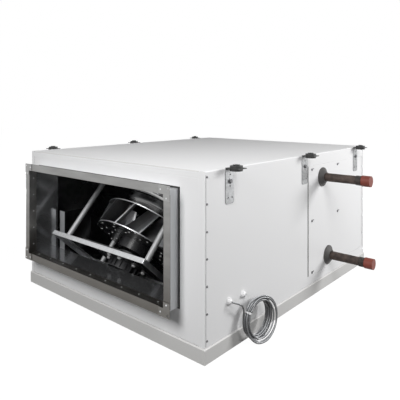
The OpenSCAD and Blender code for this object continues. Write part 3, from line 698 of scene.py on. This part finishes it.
# Pull each point towards its neighbours, to round the bends
def relaxed(points, first, last, passes):
    points = [p.copy() for p in points]
    for _ in range(passes):
        for i in range(first, last):
            beside = (points[i - 1] + points[i + 1]) / 2
            points[i] = points[i] * OWN_SHARE + beside * (1 - OWN_SHARE)
    return points


# Push on one point from the other strands that are nearer than a cable's width
def strand_push(tree, i, point):
    near = [(p, d) for p, k, d in tree.find_range(point, STRAND_GAP) if abs(k - i) > NEAR_POINTS]
    push = Vector()
    for other, distance in near:
        push += (point - other).normalized() * (STRAND_GAP - distance) / (2 * len(near))
    return push


# Part the strands until they only touch, above the floor
def settled(points, first, passes):
    points = [p.copy() for p in points]
    last = len(points) - 1
    for _ in range(passes):
        tree = KDTree(len(points))
        for i, point in enumerate(points):
            tree.insert(point, i)
        tree.balance()
        pushes = [strand_push(tree, i, point) for i, point in enumerate(points)]
        for i in range(first, last + 1):
            for step in range(-PUSH_REACH, PUSH_REACH + 1):
                weight = PUSH_REACH + 1 - abs(step)
                points[i] += pushes[min(max(i + step, 0), last)] * weight / PUSH_SHARE
            points[i].z = max(points[i].z, CABLE_D / 2 + FLOOR_GAP)
    return points


def make_route():
    lead_end = len(LEAD_STEPS)
    route = relaxed(cable_points(), LEAD_FREE, lead_end + ENTRY_POINTS, ENTRY_PASSES)
    route = relaxed(route, 1, lead_end, LEAD_PASSES)
    route = settled(route, LEAD_FREE, SETTLE_PASSES)
    route = relaxed(route, LEAD_FREE, len(route) - 1, COIL_PASSES)
    return settled(route, LEAD_FREE, LAST_PASSES)


def make_cable(route):
    bm = bmesh.new()
    tube(bm, route, CABLE_D / 2, CABLE_SIDES)
    return new_piece("control_cable", bm, "casing", cable_sheath, CABLE_SMOOTH)


# Cable tie: a thin band around the bundle, with its lock and its cut tail
TIE_W = 0.005
TIE_T = 0.0012
TIE_PLAY = 0.0004
TIE_HALF = SLOT + CABLE_D / 2 + TIE_PLAY
TIE_CORNER = CABLE_D / 2
TIE_CORNERS = ((1, 1), (-1, 1), (-1, -1), (1, -1))
TIE_ARC = 6
LOCK_W = 0.008
LOCK_H = 0.005
LOCK_BEVEL = 0.0008
TAIL_IN = 0.001
TAIL_W = 0.0036
TAIL_T = 0.0015
TAIL_LEN = 0.008
TAIL_BEVEL = 0.0004


# Ring of the band at a thickness and a side, around the bundle's rounded square
def band_ring(grow, side):
    ring = []
    for x, y in TIE_CORNERS:
        start = math.atan2(y, x) - math.pi / 4
        for i in range(TIE_ARC + 1):
            a = start + math.pi / 2 * i / TIE_ARC
            reach = TIE_CORNER + grow
            across = x * (TIE_HALF - TIE_CORNER) + reach * math.cos(a)
            out = y * (TIE_HALF - TIE_CORNER) + reach * math.sin(a)
            ring.append(Vector((across, out, side * TIE_W / 2)))
    return ring


def make_tie():
    bm = bmesh.new()
    place = Matrix.Translation(coil_place(TIE_SHIFT, 0, -TIE_ANGLE))
    matrix = place @ COIL_YAW @ Matrix.Rotation(-TIE_ANGLE, 4, "X")
    rings = []
    for grow, side in ((0, -1), (TIE_T, -1), (TIE_T, 1), (0, 1)):
        rings.append([bm.verts.new(matrix @ point) for point in band_ring(grow, side)])
    for low, high in zip(rings, rings[1:] + rings[:1]):
        bridge(bm, low, high)
    lock_low = (TIE_HALF, -LOCK_W / 2, -LOCK_W / 2)
    lock_high = (TIE_HALF + LOCK_H, LOCK_W / 2, LOCK_W / 2)
    slab(bm, lock_low, lock_high, LOCK_BEVEL, matrix)
    tail_low = (TIE_HALF + TAIL_IN, LOCK_W / 2, -TAIL_W / 2)
    tail_high = (TIE_HALF + TAIL_IN + TAIL_T, LOCK_W / 2 + TAIL_LEN, TAIL_W / 2)
    slab(bm, tail_low, tail_high, TAIL_BEVEL, matrix)
    return new_piece("cable_tie", bm, "casing", white_plastic)


cable_route = make_route()
cable = make_cable(cable_route)
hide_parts("cable_lead", "cable_coil")
tie = make_tie()
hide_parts("coil_tie")

# Screw heads: radius and height pairs from the seat outward, in metres
PAN_HEAD = (
    (0.0041, 0.0), (0.0041, 0.0007), (0.0032, 0.0009), (0.0030, 0.0022), (0.0022, 0.0029), (0.0010, 0.0031),
)
HEX_HEAD = ((0.0075, 0.0), (0.0075, 0.0045), (0.0068, 0.0053))
WASHER = ((0.0100, 0.0), (0.0100, 0.0012), (0.0094, 0.0016))
RIVET = ((0.0032, 0.0), (0.0030, 0.0008), (0.0020, 0.0013), (0.0008, 0.0015))
BLADE_RIVET = ((0.0044, 0.0), (0.0042, 0.0010), (0.0030, 0.0018), (0.0012, 0.0021))
LATCH_HEAD = ((0.0058, 0.0), (0.0058, 0.0016), (0.0047, 0.0030), (0.0020, 0.0036))
WASHER_T = WASHER[-1][1]
HEX_SIDES = 6
RIVET_SIDES = 12
WASHER_SIDES = 24

# Edge screws and the cover's latches
EDGE_SCREW_IN = 0.0125
EDGE_SCREW_ZS = (0.074, 0.162, 0.252, 0.342, 0.431, 0.522, 0.611)
LATCH_YS = (0.075, 0.340)
LATCH_ZS = (0.1016, 0.332, 0.562)
LEVER_START = 0.003
LEVER_LEN = 0.017
LEVER_W = 0.0026
LEVER_T = 0.0022
LEVER_BEVEL = 0.0004
LEVER_TURN = math.radians(12)

# Dark strip in the cover's seam, as painted shade: a strip down in the seam and a lip over it
SEAM_END = 0.004
SEAM_STRIP_W = 0.0032
SEAM_STRIP_DEPTH = 0.006
SEAM_STRIP_SUNK = 0.0006
SEAM_STRIP_BEVEL = 0.0003
LIP_W = 0.006
LIP_GAP = 0.0001
LIP_T = 0.001
LIP_BEVEL = 0.0004

# Seams at the corners of the casing
FOLD_IN = 0.0065
FOLD_W = 0.0014
FOLD_PROUD = FOLD_W / 4
FOLD_BEVEL = FOLD_W / 10
FOLD_SPAN = (0.056, 0.618)

# Hanging brackets
BRACKET_YS = (-0.532, 0.006, 0.553)
BRACKET_T = 0.003
BRACKET_BOLT_Z = 0.584
BRACKET_HOLES = ((0.0, 0.607), (0.0, 0.567), (-0.011, 0.527), (0.011, 0.527))

# Rivets of the corner plates and of the duct flanges
CORNER_PROUD = 0.0025
CORNER_OUT = 0.015
CORNER_STEP = 0.028
LEG_RIVETS_WIDE = 9
LEG_RIVETS_HIGH = 5
LEG_RIVET_IN = 0.022

# Rivets of the blades, as a radius and an angle in degrees, and bolts of the motor
BLADE_COUNT = 11
BLADE_RIVETS = ((0.125, -9), (0.155, 2.5), (0.185, 13.5))
BACKPLATE_W = 0.095
MOTOR_BOLTS = 8
MOTOR_BOLT_R = 0.090

# Pipe threads: their turns, and the places of crest, root, end and cap as shares of the pitch
PIPE_D = 0.038
PIPE_TIPS = ((0.774, 0.178, 0.518), (0.765, 0.234, 0.144))
PIPE_SIDES = 40
CAP_LEN = 0.038
THREAD_TURNS = 11
THREAD_PITCH = 0.0023
THREAD_CREST = 0.0024
THREAD_ROOT = 0.0014
THREAD_SMOOTH = 80
CREST_AT = 0.4
ROOT_AT = 0.9
RUN_OUT = 0.3
CAP_AWAY = 0.3


# Self-drilling screws down one upright edge of both side panels
def make_edge_screws(name, end, material):
    bm = bmesh.new()
    for side in (-1, 1):
        for z in EDGE_SCREW_ZS:
            lathe(bm, PAN_HEAD, (side * SIDE_X, end * (FACE_Y - EDGE_SCREW_IN), z), (side, 0, 0))
    new_piece(name, bm, "casing", material)


# Cover latches: a dark head with a thin lever
def make_cover_latches():
    bm = bmesh.new()
    low = (0.0, LEVER_START, -LEVER_W / 2)
    high = (LEVER_T, LEVER_LEN, LEVER_W / 2)
    for y in LATCH_YS:
        for z in LATCH_ZS:
            place = (SIDE_X, y, z)
            lathe(bm, LATCH_HEAD, place, (1, 0, 0))
            turned = Matrix.Translation(place) @ Matrix.Rotation(LEVER_TURN, 4, "X")
            slab(bm, low, high, LEVER_BEVEL, turned)
    new_piece("cover_latches", bm, "casing", dark_screw)


# Dark rubber strip in the upright seam of the service cover, with a rounded lip, as painted shade
def make_seam_shade_strip():
    bm = bmesh.new()
    foot = cover_low.z + SEAM_END
    head = cover_high.z - SEAM_END
    strip_low = (SIDE_X - SEAM_STRIP_DEPTH, SEAM_Y - SEAM_STRIP_W / 2, foot)
    strip_high = (SIDE_X - SEAM_STRIP_SUNK, SEAM_Y + SEAM_STRIP_W / 2, head)
    slab(bm, strip_low, strip_high, SEAM_STRIP_BEVEL)
    lip_low = (SIDE_X + LIP_GAP, SEAM_Y - LIP_W / 2, foot)
    lip_high = (SIDE_X + LIP_GAP + LIP_T, SEAM_Y + LIP_W / 2, head)
    slab(bm, lip_low, lip_high, LIP_BEVEL)
    new_piece("seam_shade_strip", bm, "casing", black_rubber)


# Rivets of the corner plates into both flange rails
def make_corner_rivets():
    bm = bmesh.new()
    for end in (-1, 1):
        y = end * (FLANGE_Y + CORNER_PROUD)
        for side in (-1, 1):
            for up in (-1, 1):
                x = DUCT_X + side * (DUCT_W / 2 + CORNER_OUT)
                z = DUCT_Z + up * (DUCT_H / 2 + CORNER_OUT)
                lathe(bm, RIVET, (x - side * CORNER_STEP, y, z), (0, end, 0), RIVET_SIDES)
                lathe(bm, RIVET, (x, y, z - up * CORNER_STEP), (0, end, 0), RIVET_SIDES)
    new_piece("corner_rivets", bm, "casing", bright_zinc)


# Fine seams where the folds of the end panels reach round the corners
def make_corner_seams():
    bm = bmesh.new()
    foot, head = FOLD_SPAN
    for side in (-1, 1):
        inner, outer = sorted((side * (SIDE_X - FOLD_W), side * (SIDE_X + FOLD_PROUD)))
        for end in (-1, 1):
            y = end * (FACE_Y - FOLD_IN)
            slab(bm, (inner, y - FOLD_W / 2, foot), (outer, y + FOLD_W / 2, head), FOLD_BEVEL)
    new_piece("corner_seams", bm, "casing", black_rubber)


# Bolt of each hanging bracket, and the blind rivets in its holes
def make_bracket_bolts():
    bm = bmesh.new()
    for side in (-1, 1):
        out = (side, 0, 0)
        face = side * (SIDE_X + BRACKET_T)
        for y in BRACKET_YS:
            lathe(bm, WASHER, (face, y, BRACKET_BOLT_Z), out)
            lathe(bm, HEX_HEAD, (face + side * WASHER_T, y, BRACKET_BOLT_Z), out, HEX_SIDES)
            for along, z in BRACKET_HOLES:
                lathe(bm, RIVET, (side * SIDE_X, y + along, z), out, RIVET_SIDES)
    new_piece("bracket_bolts", bm, "casing", dark_screw)


# Evenly spaced places along a length, from its middle
def spaced(length, count):
    return [length * ((i + 0.5) / count - 0.5) for i in range(count)]


# Rivets through the duct flanges' legs, on the inside of both openings
def make_flange_rivets():
    bm = bmesh.new()
    for end in (-1, 1):
        y = end * (FLANGE_Y - LEG_RIVET_IN)
        for x in spaced(DUCT_W, LEG_RIVETS_WIDE):
            for up in (-1, 1):
                lathe(bm, RIVET, (DUCT_X + x, y, DUCT_Z + up * DUCT_H / 2), (0, 0, -up), RIVET_SIDES)
        for z in spaced(DUCT_H, LEG_RIVETS_HIGH):
            for side in (-1, 1):
                lathe(bm, RIVET, (DUCT_X + side * DUCT_W / 2, y, DUCT_Z + z), (-side, 0, 0), RIVET_SIDES)
    new_piece("flange_rivets", bm, "casing", bright_zinc)


# Place at a radius, an angle and a height on the fan's axis
def fan_place(radius, angle, height):
    return FAN @ Vector((radius * math.cos(angle), radius * math.sin(angle), height))


# Rivets of the blades in the impeller's back plate, along each blade's foot
def make_blade_rivets():
    bm = bmesh.new()
    for i in range(BLADE_COUNT):
        for radius, lag in BLADE_RIVETS:
            angle = 2 * math.pi * i / BLADE_COUNT + math.radians(lag)
            lathe(bm, BLADE_RIVET, fan_place(radius, angle, BACKPLATE_W), -FAN_AXIS, RIVET_SIDES)
    new_piece("blade_rivets", bm, "impeller", rivet_zinc)


# Bolts of the motor through its plate
def make_motor_bolts():
    bm = bmesh.new()
    for i in range(MOTOR_BOLTS):
        place = fan_place(MOTOR_BOLT_R, 2 * math.pi * (i + 0.5) / MOTOR_BOLTS, 0)
        lathe(bm, WASHER, place, -FAN_AXIS, WASHER_SIDES)
        lathe(bm, HEX_HEAD, place - FAN_AXIS * WASHER_T, -FAN_AXIS, HEX_SIDES)
    new_piece("motor_bolts", bm, "casing", rivet_zinc)


# Threaded pipe ends between the pipes and their caps
def make_threads():
    bm = bmesh.new()
    radius = PIPE_D / 2
    profile = [(radius, 0.0)]
    for i in range(THREAD_TURNS):
        profile.append((radius + THREAD_CREST, (i + CREST_AT) * THREAD_PITCH))
        profile.append((radius + THREAD_ROOT, (i + ROOT_AT) * THREAD_PITCH))
    profile.append((radius, (THREAD_TURNS + RUN_OUT) * THREAD_PITCH))
    reach = CAP_LEN + (THREAD_TURNS + RUN_OUT + CAP_AWAY) * THREAD_PITCH
    for tip, y, z in PIPE_TIPS:
        lathe(bm, profile, (tip - reach, y, z), (1, 0, 0), PIPE_SIDES)
    new_piece("pipe_threads", bm, "casing", thread_steel, THREAD_SMOOTH)


make_edge_screws("front_screws", -1, dark_screw)
make_edge_screws("rear_screws", 1, bright_zinc)
make_cover_latches()
make_seam_shade_strip()
make_corner_rivets()
make_corner_seams()
make_bracket_bolts()
make_flange_rivets()
make_blade_rivets()
make_motor_bolts()
make_threads()

# Stage: a floor and a world that the camera sees as white
FLOOR_HALF = 14.0
FLOOR_Z = -0.0006
FLOOR_CORNERS = ((-1, -1), (1, -1), (1, 1), (-1, 1))
FLOOR_BOUNCE = 0.10
FLOOR_GLOW = 0.94
FLOOR_FADE = (1.2, 3.0)
AMBIENT = 0.02
WHITE = (1.0, 1.0, 1.0, 1.0)

# Lamps: place, aim, size and watts
LAMPS = {
    "key": ((2.50, 1.75, 1.25), (0.5, -0.1, 0.30), 0.95, 62.0),
    "side": ((2.00, -0.90, 2.00), (0.5, -0.3, 0.35), 1.2, 26.0),
    "front": ((0.50, -2.90, 2.10), (0.2, -0.6, 0.35), 1.3, 74.0),
    "left": ((-3.00, 0.30, 0.33), (-0.5, 0.1, 0.33), 0.55, 50.0),
    "rear": ((-1.20, 3.20, 0.33), (-0.1, 0.6, 0.33), 0.55, 50.0),
}


# Factor that is 1 for the rays that should see plain white
def sees_white(tree):
    path = tree.nodes.new("ShaderNodeLightPath")
    total = path.outputs["Is Camera Ray"]
    for name in ("Is Glossy Ray", "Is Transmission Ray"):
        larger = tree.nodes.new("ShaderNodeMath")
        larger.operation = "MAXIMUM"
        tree.links.new(total, larger.inputs[0])
        tree.links.new(path.outputs[name], larger.inputs[1])
        total = larger.outputs[0]
    return total


# Glow of the floor, which grows away from the part
def floor_glow(tree):
    place = tree.nodes.new("ShaderNodeNewGeometry")
    away = tree.nodes.new("ShaderNodeVectorMath")
    away.operation = "LENGTH"
    tree.links.new(place.outputs["Position"], away.inputs[0])
    fade = tree.nodes.new("ShaderNodeMapRange")
    fade.inputs["From Min"].default_value, fade.inputs["From Max"].default_value = FLOOR_FADE
    fade.inputs["To Min"].default_value = FLOOR_GLOW
    fade.inputs["To Max"].default_value = 1.0
    tree.links.new(away.outputs["Value"], fade.inputs["Value"])
    glow = tree.nodes.new("ShaderNodeEmission")
    tree.links.new(fade.outputs["Result"], glow.inputs["Strength"])
    return glow


def floor_material():
    material = bpy.data.materials.new("floor")
    material.use_nodes = True
    tree = material.node_tree
    tree.nodes.clear()
    dull = tree.nodes.new("ShaderNodeBsdfDiffuse")
    dull.inputs["Color"].default_value = (FLOOR_BOUNCE, FLOOR_BOUNCE, FLOOR_BOUNCE, 1.0)
    both = tree.nodes.new("ShaderNodeAddShader")
    tree.links.new(dull.outputs[0], both.inputs[0])
    tree.links.new(floor_glow(tree).outputs[0], both.inputs[1])
    mix = tree.nodes.new("ShaderNodeMixShader")
    tree.links.new(sees_white(tree), mix.inputs[0])
    tree.links.new(dull.outputs[0], mix.inputs[1])
    tree.links.new(both.outputs[0], mix.inputs[2])
    out = tree.nodes.new("ShaderNodeOutputMaterial")
    tree.links.new(mix.outputs[0], out.inputs[0])
    return material


def make_floor():
    bm = bmesh.new()
    bm.faces.new([bm.verts.new((x * FLOOR_HALF, y * FLOOR_HALF, FLOOR_Z)) for x, y in FLOOR_CORNERS])
    mesh = bpy.data.meshes.new("floor")
    bm.to_mesh(mesh)
    bm.free()
    mesh.materials.append(floor_material())
    floor = bpy.data.objects.new("floor", mesh)
    scene.collection.objects.link(floor)


def make_world():
    world = bpy.data.worlds.new("studio")
    scene.world = world
    world.use_nodes = True
    tree = world.node_tree
    tree.nodes.clear()
    light = tree.nodes.new("ShaderNodeBackground")
    light.inputs["Strength"].default_value = AMBIENT
    white = tree.nodes.new("ShaderNodeBackground")
    mix = tree.nodes.new("ShaderNodeMixShader")
    for background in (light, white):
        background.inputs["Color"].default_value = WHITE
    tree.links.new(sees_white(tree), mix.inputs[0])
    tree.links.new(light.outputs[0], mix.inputs[1])
    tree.links.new(white.outputs[0], mix.inputs[2])
    out = tree.nodes.new("ShaderNodeOutputWorld")
    tree.links.new(mix.outputs[0], out.inputs[0])


def area_light(name, place, aim, size, watts):
    data = bpy.data.lights.new(name, "AREA")
    data.size = size
    data.energy = watts
    lamp = bpy.data.objects.new(name, data)
    lamp.location = place
    lamp.rotation_euler = (Vector(aim) - Vector(place)).to_track_quat("-Z", "Y").to_euler()
    scene.collection.objects.link(lamp)


make_floor()
make_world()
for name, settings in LAMPS.items():
    area_light(name, *settings)
scene.view_settings.view_transform = "Standard"
